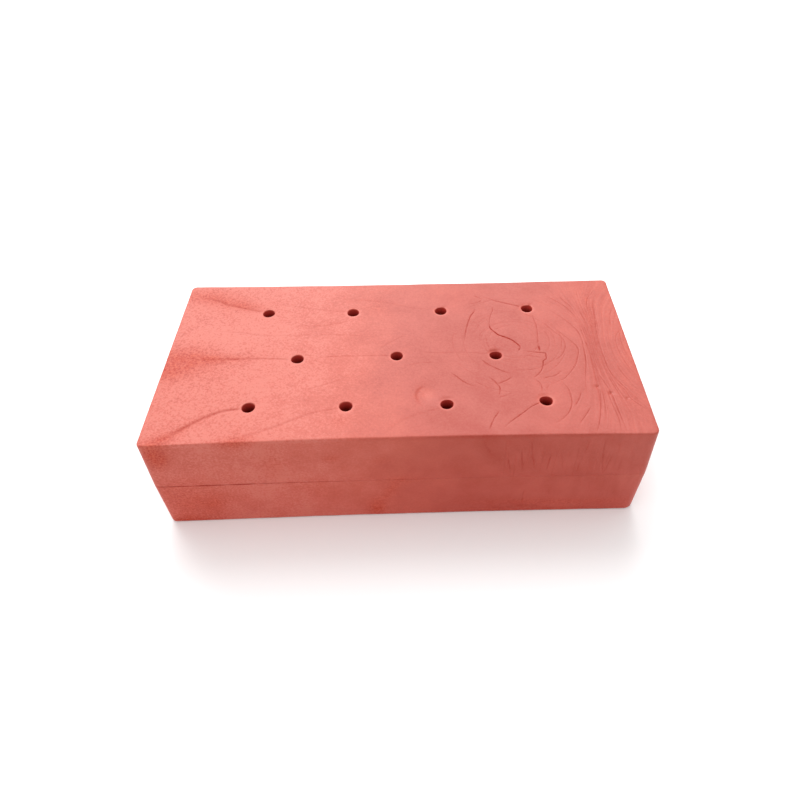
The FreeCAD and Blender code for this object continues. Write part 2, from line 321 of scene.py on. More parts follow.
# The swirl at the right-hand end: its lines run from the back to the front between two guides.
SWIRL_INNER = [
    (68, 47), (74.3, 34), (78.5, 24), (80.8, 14), (81.4, 4), (81, -8), (80.4, -20), (79.2, -34), (75, -49),
]
SWIRL_OUTER = [
    (99, 47), (92, 37), (89.4, 28), (88.6, 16), (87.6, 4), (87.8, -8), (90.4, -20), (95.4, -32), (99, -40),
]
SWIRL_LINES = 26
GUIDE_STEP, GUIDE_POINTS = 2.0, 40
SWIRL_FOLDS = [
    (0.34, 0.2, [(80.2, 20), (80.6, 12.9), (81, 4.3), (81.4, -7), (82.2, -14.5), (84.6, -24.5)]),
    (0.33, 0.22, [(93, 42), (88.8, 36.5), (86.9, 31.5), (86.4, 26)]),
    (0.41, 0.24, [(90.8, 31.5), (88.3, 19.5), (86.9, 4.5), (87.2, -10.5), (88.7, -18), (92.2, -25),
        (95.6, -32), (99, -37)]),
    (0.25, 0.2, [(86.4, 16), (85.7, 6), (85, -4.5)]),
    (0.2, 0.22, [(95.8, 22), (94.3, 15.5)]),
    (0.25, 0.22, [(98.8, 13), (95, 7), (94.3, 0), (95, -7), (96.5, -13), (98.8, -18)]),
    (0.29, 0.24, [(91.4, -12), (93.6, -18.5), (95.2, -21.5)]),
    (0.41, 0.22, [(80.7, -12), (83.2, -18.5), (85.3, -27), (85.8, -33), (86.9, -48)]),
    (0.41, 0.22, [(81.5, -24), (80.4, -30.5), (79.2, -36), (77, -43.5), (74.6, -49)]),
    (0.3, 0.24, [(88, -19.5), (91.4, -26), (92.8, -31), (98.8, -38)]),
    (0.25, 0.22, [(98, 28), (95.7, 21.4), (94.6, 14.3)]),
    (0.21, 0.24, [(98.6, 14), (97.2, 8), (96.8, 2), (97.4, -4), (98.8, -8)]),
    (0.25, 0.22, [(83.8, -24), (84.4, -33), (85.2, -41), (84.6, -49)]),
]


def lines_of(table):
    """The lines of a table of strengths, half widths and points."""
    return [Line(points, strength, half_width) for strength, half_width, points in table]


def guide_points(guide):
    """GUIDE_POINTS points at even shares of a smooth curve through a guide."""
    curve = smooth_curve(guide, GUIDE_STEP)
    wanted = np.linspace(0, 1, GUIDE_POINTS)
    share = np.linspace(0, 1, len(curve))
    return np.stack([np.interp(wanted, share, curve[:, axis]) for axis in (0, 1)], axis=1)


def swirl_lines(rng):
    """Lines between the swirl's two guides, each over a stretch of its own."""
    inner, outer = guide_points(SWIRL_INNER), guide_points(SWIRL_OUTER)
    lines = []
    for number in range(SWIRL_LINES):
        across = (number + rng.uniform(-0.35, 0.35)) / (SWIRL_LINES - 1)
        start = rng.uniform(0.0, 0.4)
        stop = min(1.0, start + rng.uniform(0.35, 0.8))
        drift = rng.uniform(-0.06, 0.06)
        first, last = int(start * (GUIDE_POINTS - 1)), int(stop * (GUIDE_POINTS - 1)) + 1
        share = np.clip(across + drift * np.linspace(-1, 1, GUIDE_POINTS), -0.05, 1.05)[:, None]
        path = (inner * (1 - share) + outer * share)[first:last:3]
        lines.append(Line(path, rng.uniform(0.14, 0.32), rng.uniform(0.2, 0.3)))
    return lines


RIPPLES, RIPPLES_CENTRE = 34, (50, 6)


def ripple_lines(rng):
    """Faint ripples round the long crack, each a short arc."""
    centre_x, centre_y = RIPPLES_CENTRE
    lines = []
    for _ in range(RIPPLES):
        radius, start = rng.uniform(9, 33), rng.uniform(0, 2 * math.pi)
        span = rng.uniform(6, 16) / radius
        stretch = rng.uniform(0.85, 1.1)
        points = []
        for turn in (start - span, start + span * -0.3, start + span * 0.4, start + span):
            x = centre_x + radius * math.cos(turn)
            points.append((x, centre_y + radius * stretch * math.sin(turn)))
        lines.append(Line(points, rng.uniform(0.1, 0.22), 0.27))
    return lines


def top_lines():
    """Every line in the top face."""
    rng = random.Random(SEED)
    lines = ripple_lines(rng)
    for row, place, steps, strength, half_width, widen in WELDS:
        points = [pin_at(row, place) + step for step in steps]
        lines.append(Line(points, strength, half_width, widen, fade=(0.04, 0.35)))
    return lines + lines_of(CREASES) + lines_of(SWIRL_FOLDS) + swirl_lines(rng)


def base_lines():
    """Flow lines in the resting face: one behind each pin, and a few folds at the right-hand end."""
    rng = random.Random(SEED + 1)
    lines = []
    for x, y, radius in HOLES:
        spread = y * 0.3 + rng.uniform(-2, 2)
        reach = rng.uniform(22, 36)
        points = [(x - radius, y), (x - reach * 0.4, y + spread * 0.25), (x - reach, y + spread)]
        lines.append(Line(points, rng.uniform(0.18, 0.4), 0.3, 2.4, fade=(0.05, 0.4)))
    for number in range(9):
        x = 62 + 4 * number + rng.uniform(-1, 1)
        bow = rng.uniform(3, 7)
        points = [(x + bow, 44), (x, 18), (x - 1, -10), (x + bow * 0.6, -44)]
        lines.append(Line(points, rng.uniform(0.16, 0.36), 0.22))
    return lines


FRONT_WALL, RIGHT_WALL, BACK_WALL, LEFT_WALL = range(4)


# Streaks in the front, as places along it and heights.
FRONT_STREAKS = [
    (0.3, 0.3, [(31.4, 46.5), (33.2, 43), (35, 39)]),
    (0.5, 0.3, [(41.8, 36.5), (42.4, 33), (43.2, 29)]),
    (0.5, 0.3, [(46.8, 41), (47.3, 36), (48.2, 28.4)]),
    (0.4, 0.28, [(50, 47), (51, 40), (53.2, 28.5)]),
    (0.5, 0.3, [(50.4, 38), (51.6, 36), (52.9, 33.4)]),
    (0.5, 0.28, [(58.6, 38), (58.2, 33), (57.8, 27.8)]),
    (0.28, 0.26, [(62.5, 39.5), (63.6, 34), (64.6, 28)]),
    (0.4, 0.24, [(71.5, 37.5), (70.7, 32), (70.4, 27)]),
    (0.28, 0.26, [(72.9, 46.5), (72.3, 42), (71.8, 38)]),
    (0.42, 0.24, [(78.9, 47), (79, 41.5), (80, 33), (81.8, 22)]),
    (0.36, 0.24, [(83.2, 38), (82, 29.5), (80.7, 23.5)]),
    (0.22, 0.26, [(84.3, 45), (85.7, 39)]),
    (0.22, 0.3, [(72, 23), (72.8, 20.5), (73.6, 18)]),
    (0.3, 0.3, [(50.2, 16), (50, 11), (50.2, 5.6)]),
    (0.22, 0.3, [(60, 16.4), (61.4, 11.4)]),
    (0.35, 0.26, [(-56.6, 28), (-56.2, 25.6), (-56.4, 22)]),
    (0.28, 0.26, [(-55, 27.4), (-54.9, 22.6)]),
    (0.24, 0.3, [(22, 2.4), (34, 3.6), (50, 2.8), (64, 3.6), (78, 3)]),
    (0.3, 0.3, [(30, 4.2), (41, 3.4), (52, 4.6), (60, 3.8)]),
    (0.24, 0.3, [(36, 1.9), (50, 1.6), (66, 2.2), (88, 1.8)]),
]


def hanging_lines(rng, places, jitter, tops, bottoms, leans, strengths, half_width):
    """Lines down a wall, each by chance within the given ranges.

    leans returns how far a line leans at its middle and at its foot.
    """
    lines = []
    for place in places:
        x, top = place + rng.uniform(-jitter, jitter), rng.uniform(*tops)
        bottom = rng.uniform(*bottoms)
        middle, foot = leans()
        points = [(x, top), (x + middle, (top + bottom) / 2), (x + foot, bottom)]
        lines.append(Line(points, rng.uniform(*strengths), half_width))
    return lines


def front_lines(rng):
    """The front's streaks, with faint ones between them."""
    def leans():
        foot = rng.uniform(-1.4, 1.6)
        return foot * 0.6, foot

    places = [38 + 2.4 * number for number in range(22)]
    faint = hanging_lines(rng, places, 1, (36, 48), (20, 30), leans, (0.08, 0.22), 0.26)
    return lines_of(FRONT_STREAKS) + faint


def end_lines(rng):
    """Folds down the right-hand end, where the swirl in the top face comes over the edge."""
    def leans():
        foot = rng.uniform(-4, 4)
        return foot * 0.3, foot

    places = [-44 + 5.9 * number for number in range(16)]
    return hanging_lines(rng, places, 2, (40, 49), (3, 30), leans, (0.2, 0.5), 0.26)


def back_lines(rng):
    """A few shallow folds and flow lines across the back."""
    def leans():
        return rng.uniform(-2, 0), -2

    places = [24 + 5.2 * number for number in range(14)]
    lines = hanging_lines(rng, places, 2, (38, 48), (8, 30), leans, (0.15, 0.4), 0.28)
    for number in range(5):
        x, z = -90 + 24 * number, rng.uniform(8, 42)
        points = [(x, z), (x + 14, z + rng.uniform(-2, 2)), (x + 30, z + rng.uniform(-3, 3))]
        lines.append(Line(points, rng.uniform(0.12, 0.25), 0.5))
    return lines


def left_lines(rng):
    """Faint marks where the flow lines of the top face reach the left-hand end."""
    def leans():
        return rng.uniform(-1, 1), rng.uniform(-2, 2)

    places = [-40 + 13 * number for number in range(7)]
    return hanging_lines(rng, places, 3, (44, 49), (22, 38), leans, (0.12, 0.3), 0.5)


def wall_lines():
    """The lines in each wall, as places along the wall and heights above the resting face."""
    rng = random.Random(SEED + 2)
    makers = {FRONT_WALL: front_lines, RIGHT_WALL: end_lines, BACK_WALL: back_lines, LEFT_WALL: left_lines}
    return {wall: maker(rng) for wall, maker in makers.items()}


# ---- shape of the surface

LINE_DEPTH = 0.24           # of a line at full strength
SWELL, SWELL_SIZE = 0.16, 34.0
RIPPLE, RIPPLE_SIZE = 0.035, 7.0


def noise_at(points, size, seed):
    """Smooth noise from 0 to 1 at each point, with features of a size."""
    values = [noise.noise(Vector((x / size, y / size, z / size + seed))) for x, y, z in points]
    return 0.5 + 0.5 * np.array(values)


def swell(points):
    """How far the surface falls short of its flat or straight form, because the clay shrank."""
    return SWELL * noise_at(points, SWELL_SIZE, 0.0) + RIPPLE * noise_at(points, RIPPLE_SIZE, 40.0)


def around(points, x, y):
    """Each point's place and distance from (x, y)."""
    dx, dy = points[:, 0] - x, points[:, 1] - y
    return dx, dy, np.hypot(dx, dy)


def bump_at(points, x, y, radius_x, radius_y, turn=0.0):
    """A round hill of height 1 at (x, y), stretched along a direction in degrees."""
    angle = math.radians(turn)
    dx, dy, _ = around(points, x, y)
    along = dx * math.cos(angle) + dy * math.sin(angle)
    across = dy * math.cos(angle) - dx * math.sin(angle)
    return np.exp(-((along / radius_x) ** 2) - (across / radius_y) ** 2)


def spots_at(points, spots):
    """The sum of some spots: each its place, its reach both ways, its direction and its strength."""
    return sum(strength * bump_at(points, *spot) for *spot, strength in spots)


# The dent beside the third pin of the front row: its middle from the pin's centre, its depth, its
# reach both ways and its direction in degrees.
DENT_FROM_PIN = (-7.6, 5.2)
DENT_DEPTH, DENT_LENGTH, DENT_WIDTH, DENT_TURN = 0.75, 4.0, 5.2, 15
# The step along its left side is part of a ring.  The ring's middle lies a little to the right of the
# dent's, the ring is drawn out from front to back, and it fades in towards the left.
DENT_STEP, DENT_STEP_RADIUS, DENT_STEP_WIDTH = 0.18, 4.4, 0.6
DENT_STEP_RIGHT, DENT_STEP_DRAWN, DENT_STEP_FADE = 0.4, 0.86, 3.0
# Pits in the top face: place and size.
PITS = ((80.4, -23.4, 0.8), (85.2, -27.3, 0.9), (91.2, -30.4, 0.6), (14.6, -9.6, 0.6))
PIT_DEPTH = 0.5             # for its size


def dents(points):
    """How deep the dent, with its sharper left side, and the pits are at each point."""
    x, y = pin_at(FRONT, 2) + DENT_FROM_PIN
    depth = DENT_DEPTH * bump_at(points, x, y, DENT_LENGTH, DENT_WIDTH, DENT_TURN)
    from_centre = np.hypot(points[:, 0] - x - DENT_STEP_RIGHT, (points[:, 1] - y) * DENT_STEP_DRAWN)
    left_side = np.clip((x - points[:, 0]) / DENT_STEP_FADE, 0, 1)
    depth += DENT_STEP * left_side * np.exp(-(((from_centre - DENT_STEP_RADIUS) / DENT_STEP_WIDTH) ** 2))
    for pit_x, pit_y, size in PITS:
        depth += PIT_DEPTH * size * bump_at(points, pit_x, pit_y, size, size)
    return depth


MOUTH, MOUTH_VARIES = 0.36, 0.35    # rounding of a pin hole's mouth, and how unevenly it is rounded
RIM_HIGHLIGHT_WIDTH = 0.5             # of the paler ring round a pin hole: a painted highlight on its worn lip
DIP, DIP_REACH = 0.1, 0.7   # of the top face towards every pin hole
# The holes whose far rim has sunk, and by how much.
SOFT_RIMS = {(MIDDLE, 2): 0.5, (FRONT, 2): 0.35, (FRONT, 3): 0.4, (BACK, 3): 0.25}
SOFT_ANGLE, SOFT_REACH = math.radians(96), 0.9
# The holes whose rim a pin has torn as it came out, and how far.
TORN_RIMS = {(BACK, 2): 0.45, (BACK, 3): 0.7}
TEAR_TURN, TEAR_SPREAD = 55, math.radians(15)
TEAR_ANGLE = math.radians(TEAR_TURN)
TEAR_OUT, TEAR_LENGTH, TEAR_WIDTH, TEAR_DOWN = 0.5, 0.9, 0.45, 1.4
# Room for a tear, kept beside every hole: its middle from the pin's centre, its reach and how wide.
TEAR_ROOM_X, TEAR_ROOM_Y, TEAR_ROOM_REACH, TEAR_ROOM = 2.4, 3.2, 1.4, 0.8
OVAL, LOBED = 0.012, 0.009  # how far a hole is out of round, of its radius


def turn_between(angle, other):
    """The difference of two angles, from -pi to pi."""
    return (angle - other + math.pi) % (2 * math.pi) - math.pi


def mouth_depth(points):
    """How the top face dips towards the pin holes: a soft far rim on some, and a tear on others."""
    depth = np.zeros(len(points))
    for x, y, radius in HOLES:
        away = np.maximum(around(points, x, y)[2] - radius, 0)
        depth += DIP * np.exp(-away / DIP_REACH)
    for (row, place), size in SOFT_RIMS.items():
        dx, dy, distance = around(points, *pin_at(row, place))
        away = np.maximum(distance - PIN_RADIUS, 0)
        facing = np.clip(np.cos(turn_between(np.arctan2(dy, dx), SOFT_ANGLE)), 0, 1) ** 2
        depth += size * facing * np.exp(-((away / SOFT_REACH) ** 2))
    for (row, place), size in TORN_RIMS.items():
        x, y = pin_at(row, place)
        tear_x = x + (PIN_RADIUS + TEAR_OUT) * math.cos(TEAR_ANGLE)
        tear_y = y + (PIN_RADIUS + TEAR_OUT) * math.sin(TEAR_ANGLE)
        depth += size * bump_at(points, tear_x, tear_y, TEAR_LENGTH, TEAR_WIDTH, TEAR_TURN)
    return depth


# How dark the seam is along the block: open and dark in places on the left, almost gone on the right.
SEAM_PLACES = (-100, -95, -88, -84, -79, -73, -71, -66, -61, -59, -54, -50, -24, -22, 6, 14, 30, 45, 100)
SEAM_SHADES = (
    0.2, 0.34, 0.42, 0.2, 0.6, 0.45, 0.25, 0.65, 0.55, 0.12, 0.3, 0.28, 0.22, 0.1, 0.1, 0.06, 0, 0.04, 0.08,
)
SEAM_SHADE_WIDTH = 0.25
# How deep the seam is along the block: open on the left, almost shut right of the middle.
GROOVE_PLACES = (-100, -58, -20, 16, 26, 42, 70, 100)
GROOVE_DEPTHS = (0.3, 0.3, 0.16, 0.1, 0.06, 0.08, 0.12, 0.16)
GROOVE_LEAST, GROOVE_VARIES = 0.8, 0.4  # of that depth: the least, and how much noise adds to it
SHADE_REACH, SHADE_OVER = 1.1, 0.02     # the shade's height: of that depth, and this much more


def groove_at(place):
    """How deep the seam is at a place along the block."""
    return np.interp(place, GROOVE_PLACES, GROOVE_DEPTHS)


def seam_shade(points, heights):
    """How dark the seam makes each point of a wall, from its place and its height off the seam."""
    in_groove = heights < groove_at(points[:, 0]) * SHADE_REACH + SHADE_OVER
    return np.interp(points[:, 0], SEAM_PLACES, SEAM_SHADES) * in_groove


def rim_highlight_at(points):
    """How strong the painted highlight on the worn rim of a pin hole is at each point, more so on the hole's
    front side.
    """
    pale = np.zeros(len(points))
    for x, y, radius in HOLES:
        dx, dy, distance = around(points, x, y)
        away = distance - radius - RIM_HIGHLIGHT_WIDTH
        front = 0.65 - 0.35 * dy / np.maximum(distance, radius)
        pale += front * np.exp(-((away / RIM_HIGHLIGHT_WIDTH) ** 2))
    return pale


# ---- the slabs' meshes

SEAM_TURNS, EDGE_TURNS, MOUTH_TURNS = 4, 6, 4   # steps round the seam, the edge and a hole's mouth
EDGE_RADIUS = 0.85
EDGE_LEAST, EDGE_MOST = 0.8, 1.3    # the edge's radius varies between these shares of it
WALL_STEP = 1.25            # between the rings of a wall
PIN_SIDES = 44
PIN_DEPTHS = (0.5, 1.1, 1.9, 3.0, 4.5, 6.5, 9.0, 12.0, 16.0, 20.5)
FOLD_STEPS = (-2.6, -1.6, -0.9, -0.4, 0.0, 0.4, 0.9, 1.6, 2.6)      # half widths off a line
WIDEST_FOLD = 0.6           # the greatest half width that these steps follow
PIN_RINGS = (0.7, 1.1, 1.7, 2.5)    # rows of points round each hole, this far off it
FINE_CELL = 0.2             # holds at most one of those points
GRID_STEP, GRID_JITTER = 1.25, 0.18
GRID_CELL = 0.7             # in grid steps: no grid point shares such a cell with a fine one
KEEP_OFF_EDGE, KEEP_OFF_PIN, CORNER_KEEP = 0.45, 0.22, 4.4


class SlabMesh:
    """The vertices and faces of one slab.

    Each vertex also has its wall's normal, how far it follows what sinks in the face and in the
    wall, and its depth down a pin hole.
    """

    def __init__(self):
        self.points, self.normals, self.follow_face, self.follow_wall = [], [], [], []
        self.bores, self.faces = [], []
        self.count = 0

    def add(self, points, height, follow_face=0.0, follow_wall=0.0, normals=None, bore=0.0):
        """Adds flat points at a height above the seam, and returns their numbers."""
        size = len(points)
        self.points.append(np.column_stack([points, np.broadcast_to(height, size)]))
        self.normals.append(np.zeros((size, 2)) if normals is None else normals)
        self.follow_face.append(np.broadcast_to(follow_face, size))
        self.follow_wall.append(np.broadcast_to(follow_wall, size))
        self.bores.append(np.broadcast_to(bore, size))
        first = self.count
        self.count += size
        return np.arange(first, first + size)

    def join(self, ring, next_ring):
        """Joins two closed rings with quads that face right of the run of a ring with its next above."""
        quads = np.stack([ring, np.roll(ring, -1), np.roll(next_ring, -1), next_ring], axis=1)
        self.faces += quads.tolist()


def rounded_walls(mesh, slab):
    """Adds the walls from the seam to the outer face, and returns their first and last ring."""
    thickness = THICKNESS[slab]
    normals = np.stack([NORMAL_X, NORMAL_Y], axis=1)
    at_seam = outline_at(slab, 0.0, 0.0)
    uneven = noise_at(np.column_stack([at_seam, np.zeros(STATIONS)]), 3.0, 9.0)
    groove = groove_at(at_seam[:, 0]) * (GROOVE_LEAST + GROOVE_VARIES * uneven)
    wear = noise_at(np.column_stack([at_seam, np.full(STATIONS, thickness)]), 11.0, 20.0)
    edge = EDGE_RADIUS * (EDGE_LEAST + (EDGE_MOST - EDGE_LEAST) * wear)
    rings = []

    def add_ring(height, inset, up=0.0, out=1.0):
        points = outline_at(slab, height, inset)
        rings.append(mesh.add(points, height, up, out, normals))

    for turn in np.linspace(0, math.pi / 2, SEAM_TURNS + 1):
        add_ring(groove * (1 - math.cos(turn)), groove * (1 - math.sin(turn)))
    wall_foot = groove + SEAM_SHADE_WIDTH
    for share in np.linspace(0, 1, int(thickness / WALL_STEP) + 1)[:-1]:
        add_ring(wall_foot + share * (thickness - edge - groove - SEAM_SHADE_WIDTH), 0.0)
    for turn in np.linspace(0, math.pi / 2, EDGE_TURNS + 1):
        height, inset = thickness - edge * (1 - math.sin(turn)), edge * (1 - math.cos(turn))
        add_ring(height, inset, up=math.sin(turn) ** 2, out=math.cos(turn) ** 2)
    for lower, upper in zip(rings, rings[1:]):
        mesh.join(lower, upper)
    return rings[0], rings[-1]


def pin_walls(mesh, slab):
    """Adds the walls of every pin hole, and returns their loops at the outer face and at the seam.

    Each hole is a little out of round and its mouth unevenly rounded, in a way of its own.  The
    mouth follows what sinks in the face, and less so further down.
    """
    thickness = THICKNESS[slab]
    angles = np.linspace(0, 2 * math.pi, PIN_SIDES, endpoint=False)
    circle = np.stack([np.cos(angles), np.sin(angles)], axis=1)
    tears = {tuple(pin_at(*where)): size for where, size in TORN_RIMS.items()} if slab == "upper" else {}
    mouths, feet = [], []
    for number, (x, y, radius) in enumerate(HOLES):
        wobble = 1 + OVAL * np.sin(2 * angles + number) + LOBED * np.sin(3 * angles + 2.1 * number)
        mouth = MOUTH * (1 + MOUTH_VARIES * np.sin(angles + 1.7 * number) * np.sin(2 * angles + number))
        tear = tears.get((x, y), 0.0) * np.exp(-((turn_between(angles, TEAR_ANGLE) / TEAR_SPREAD) ** 2))
        rings = []
        for turn in np.linspace(0, math.pi / 2, MOUTH_TURNS + 1):
            out = radius * wobble + mouth * (1 - math.sin(turn)) + tear
            ring = circle * out[:, None] + (x, y)
            height = thickness - mouth * (1 - math.cos(turn))
            down = MOUTH * turn / math.pi * 2
            rings.append(mesh.add(ring, height, math.exp(-0.5 * turn), bore=down))
        for depth in PIN_DEPTHS:
            out = radius * wobble + tear * math.exp(-((depth / TEAR_DOWN) ** 2))
            ring = circle * out[:, None] + (x, y)
            follow = 0.45 * math.exp(-depth)
            rings.append(mesh.add(ring, thickness - mouth - depth, follow, bore=MOUTH + depth))
        rings.append(mesh.add(circle * radius + (x, y), 0.0, bore=thickness))
        for upper, lower in zip(rings, rings[1:]):
            mesh.join(upper, lower)
        mouths.append(rings[0])
        feet.append(rings[-1])
    return mouths, feet


def face_points(lines):
    """Points in the outer face: rows beside every line and round every pin, and a loose grid."""
    rng = np.random.default_rng(SEED)
    fine = []
    for line in lines:
        path = line.samples
        run = np.gradient(path, axis=0)
        run = run / np.maximum(np.linalg.norm(run, axis=1, keepdims=True), 1e-9)
        across = np.stack([-run[:, 1], run[:, 0]], axis=1)
        width = np.minimum(line.half_width, WIDEST_FOLD)[:, None]
        fine += [path + across * width * step for step in FOLD_STEPS]
    angles = np.linspace(0, 2 * math.pi, PIN_SIDES, endpoint=False)
    for x, y, radius in HOLES:
        for out in PIN_RINGS:
            turned = angles + out
            ring_x, ring_y = x + (radius + out) * np.cos(turned), y + (radius + out) * np.sin(turned)
            fine.append(np.stack([ring_x, ring_y], axis=1))
    fine = thin_out(np.vstack(fine), FINE_CELL)

    rows = np.arange(-HALF_WIDTH, HALF_WIDTH, GRID_STEP * math.sqrt(0.75))
    grid = []
    for number, y in enumerate(rows):
        xs = np.arange(-HALF_LENGTH, HALF_LENGTH, GRID_STEP) + (number % 2) * GRID_STEP / 2
        grid.append(np.stack([xs, np.full(len(xs), y)], axis=1))
    grid = np.vstack(grid)
    grid = grid + rng.uniform(-GRID_JITTER, GRID_JITTER, grid.shape) * GRID_STEP
    cell = GRID_STEP * GRID_CELL
    taken = {tuple(key) for key in np.floor(fine / cell).astype(int).tolist()}
    free = [tuple(key) not in taken for key in np.floor(grid / cell).astype(int).tolist()]
    return np.vstack([fine, grid[free]])


def thin_out(points, cell):
    """At most one of the points in each square cell."""
    _, first = np.unique(np.floor(points / cell).astype(int), axis=0, return_index=True)
    return points[np.sort(first)]


def keep_inside(points, slab):
    """The points that lie inside the outer face, clear of the pin holes and of where a rim may tear."""
    shape = OUTLINES[slab]
    half_x = HALF_LENGTH - shape["end"][1]
    half_y = HALF_WIDTH - shape["side"][1]
    margin = EDGE_RADIUS * EDGE_MOST + KEEP_OFF_EDGE
    bow = 1 - (points[:, 0] / half_x) ** 2
    inside = np.abs(points[:, 0]) < half_x - margin
    inside &= points[:, 1] > -half_y + margin + shape["front"][1] * bow
    inside &= points[:, 1] < half_y - margin - shape["back"][1] * bow
    corner = np.maximum(np.abs(points) - (half_x - CORNER_KEEP, half_y - CORNER_KEEP), 0)
    inside &= np.hypot(corner[:, 0], corner[:, 1]) < CORNER_KEEP - margin
    for x, y, radius in HOLES:
        away = around(points, x, y)[2] - radius - MOUTH * (1 + MOUTH_VARIES)
        at_tear = bump_at(points, x + TEAR_ROOM_X, y + TEAR_ROOM_Y, TEAR_ROOM_REACH, TEAR_ROOM_REACH)
        inside &= away > KEEP_OFF_PIN + TEAR_ROOM * at_tear
    return points[inside]


def fill_between(mesh, outer, inner_loops, extra, flip):
    """Triangles between an outer loop and the loops inside it, through extra points."""
    loops = [outer, *inner_loops]
    numbers = np.concatenate([*loops, extra])
    flat = np.vstack(mesh.points)[numbers, :2]
    loop_of = np.full(len(numbers), -1)
    edges, start = [], 0
    for number, loop in enumerate(loops):
        size = len(loop)
        edges += [(start + i, start + (i + 1) % size) for i in range(size)]
        loop_of[start:start + size] = number
        start += size
    found = delaunay_2d_cdt([Vector(p) for p in flat], edges, [], 0, 1e-5, True)
    source = np.array([origin[0] for origin in found[3]])
    triangles = source[np.array(found[2])]
    owner = loop_of[triangles]
    on_one_loop = (owner[:, 0] == owner[:, 1]) & (owner[:, 1] == owner[:, 2])
    in_pin = on_one_loop & (owner[:, 0] > 0)
    centres = flat[triangles].mean(axis=1)
    outside = on_one_loop & (owner[:, 0] == 0)
    outside[outside] = ~inside_loop(centres[outside], flat[:len(outer)])
    kept = numbers[triangles[~(in_pin | outside)]]
    mesh.faces += (kept[:, ::-1] if flip else kept).tolist()


def inside_loop(points, loop):
    """Whether each point is inside a closed loop, by counting the edges to its right."""
    a, b = loop[None], np.roll(loop, -1, axis=0)[None]
    x, y = points[:, 0:1], points[:, 1:2]
    crosses = (a[..., 1] > y) != (b[..., 1] > y)
    with np.errstate(divide="ignore", invalid="ignore"):
        at = a[..., 0] + (y - a[..., 1]) * (b[..., 0] - a[..., 0]) / (b[..., 1] - a[..., 1])
    return np.sum(crosses & (at > x), axis=1) % 2 == 1


# Redder, coarser clay on the top face, and painted shade in the dent, as spots_at takes it.
TOP_STAINS_AND_SHADE = [
    (-88, 40, 17, 5.8, -14, 0.72),
    (-71, 33.6, 9, 3.0, -16, 0.65),
    (-93, -3, 13, 8, 0, 1.1),
    (-97, -10, 6, 6, 15, 0.6),
    (-78, -2, 13, 3.2, 1, 0.7),
    (-93, -48, 7, 2.8, 30, 0.85),
    (-84, -41.5, 8, 1.8, 42, 0.35),
    (-63, -48.2, 7.5, 2.6, 8, 0.75),
    (-11, 31, 5, 5, 0, 0.25),
    (-31, 20.5, 7, 2, 6, 0.2),
    (-24, -39, 4, 3, 0, 0.34),
    (86, 28, 2.6, 22, 0, 0.25),
    (94, -32, 5, 14, 10, 0.15),
    (98, -8, 3, 10, 0, 0.2),
    # painted shade: the redder crescent on the dent's shaded left side
    (7, -26, 1.6, 5.4, -8, 0.22),
    (58, 23.2, 2.2, 1.2, 0, 0.4),
]
# The same on the front wall, as places along it and heights.
FRONT_STAINS = [
    (-94, 44.5, 4.4, 6.8, -8, 1.1),
    (-92.8, 42.8, 2.6, 3.6, -12, 0.6),
    (-63, 50, 7, 3, 0, 0.8),
    (-51, 36, 5, 9, 0, 0.35),
    (-87, 14, 14, 14, 0, 0.5),
    (-78, 12, 5, 5, 0, 0.3),
    (-36, 21, 7, 6, 0, 0.2),
    (-28, 39, 3, 1.6, 10, 0.4),
    (-9, 37, 4, 2, 0, 0.2),
    (-11.5, 6, 3.6, 5.5, -10, 0.75),
    (-10.5, 4.5, 1.6, 1.2, 0, 0.6),
    (0, 25, 7, 1.5, 0, 0.3),
    (-5, 18, 3, 9, -32, 0.4),
    (-92, 0, 11, 4, 0, 1.0),
    (66, 6.5, 40, 2.6, -1, 0.45),
    (60, 1.5, 42, 2, 0, 0.4),
]
# Paler spots on the top face: a painted highlight in the dent, and paler spots at the middle of the front
# edge and back left.
PALE_SPOTS = [
    # painted highlight in the dent
    (10.6, -25, 2.9, 3.2, 10, 0.5),
    (0, -44, 6, 6, 0, 0.16),
    (-76, 12, 26, 8, 0, 0.16),
]


def swirl_flow(points):
    """Where each point lies across the swirl, from 0 at its inner guide to 1 at its outer one."""
    inner = smooth_curve(SWIRL_INNER, GUIDE_STEP)[::-1]
    outer = smooth_curve(SWIRL_OUTER, GUIDE_STEP)[::-1]
    inner_x = np.interp(points[:, 1], inner[:, 1], inner[:, 0])
    outer_x = np.interp(points[:, 1], outer[:, 1], outer[:, 0])
    return (points[:, 0] - inner_x) / (outer_x - inner_x)


# How pale the clay is along the block, from 0 to 1: at the top's back and front edges, and on the walls,
# with painted light that makes them paler towards the foot.  The top's tones take over close below its face.
TONE_PLACES = (-100, -62, -37, -12, 12, 37, 62, 100)
BACK_TONES = (1.0, 1.0, 0.84, 0.63, 0.43, 0.28, 0.42, 0.62)
FRONT_TONES = (0.87, 0.97, 0.92, 0.61, 0.21, 0.15, 0.18, 0.34)
WALL_TONES = (0.84, 0.89, 0.80, 0.67, 0.39, 0.20, 0.31, 0.29)
# painted light that makes the walls paler near the resting face: how much, and over what height
FOOT_PAINTED_LIGHT, FOOT_PAINTED_LIGHT_HEIGHT = 0.22, 6.5
TOP_BAND, TOP_FADE = 1.4, 0.4
SWIRL_LEAD = 0.9            # of the swirl's width: how far before it its streaks begin
SEAM_BAND = 1.0             # this close to the seam, lines stay on the surface
FOLLOWS = 0.01              # the least share with which a vertex counts as on a face or a wall


def tone_at(points):
    """How pale the clay is at each point, before its grain and stains, with painted light near the foot and
    in the dent.
    """
    x, y, z = points.T
    back, front, wall = (np.interp(x, TONE_PLACES, tones) for tones in (BACK_TONES, FRONT_TONES, WALL_TONES))
    top = front + (back - front) * np.clip(0.5 + 0.5 * y / HALF_WIDTH, 0, 1)
    top += spots_at(points, PALE_SPOTS)
    on_top = np.clip((z - UPPER_HIGH[2] + TOP_BAND) / TOP_FADE, 0, 1)
    # the last term is painted light near the resting face
    return wall + (top - wall) * on_top + FOOT_PAINTED_LIGHT * np.exp(-z / FOOT_PAINTED_LIGHT_HEIGHT)


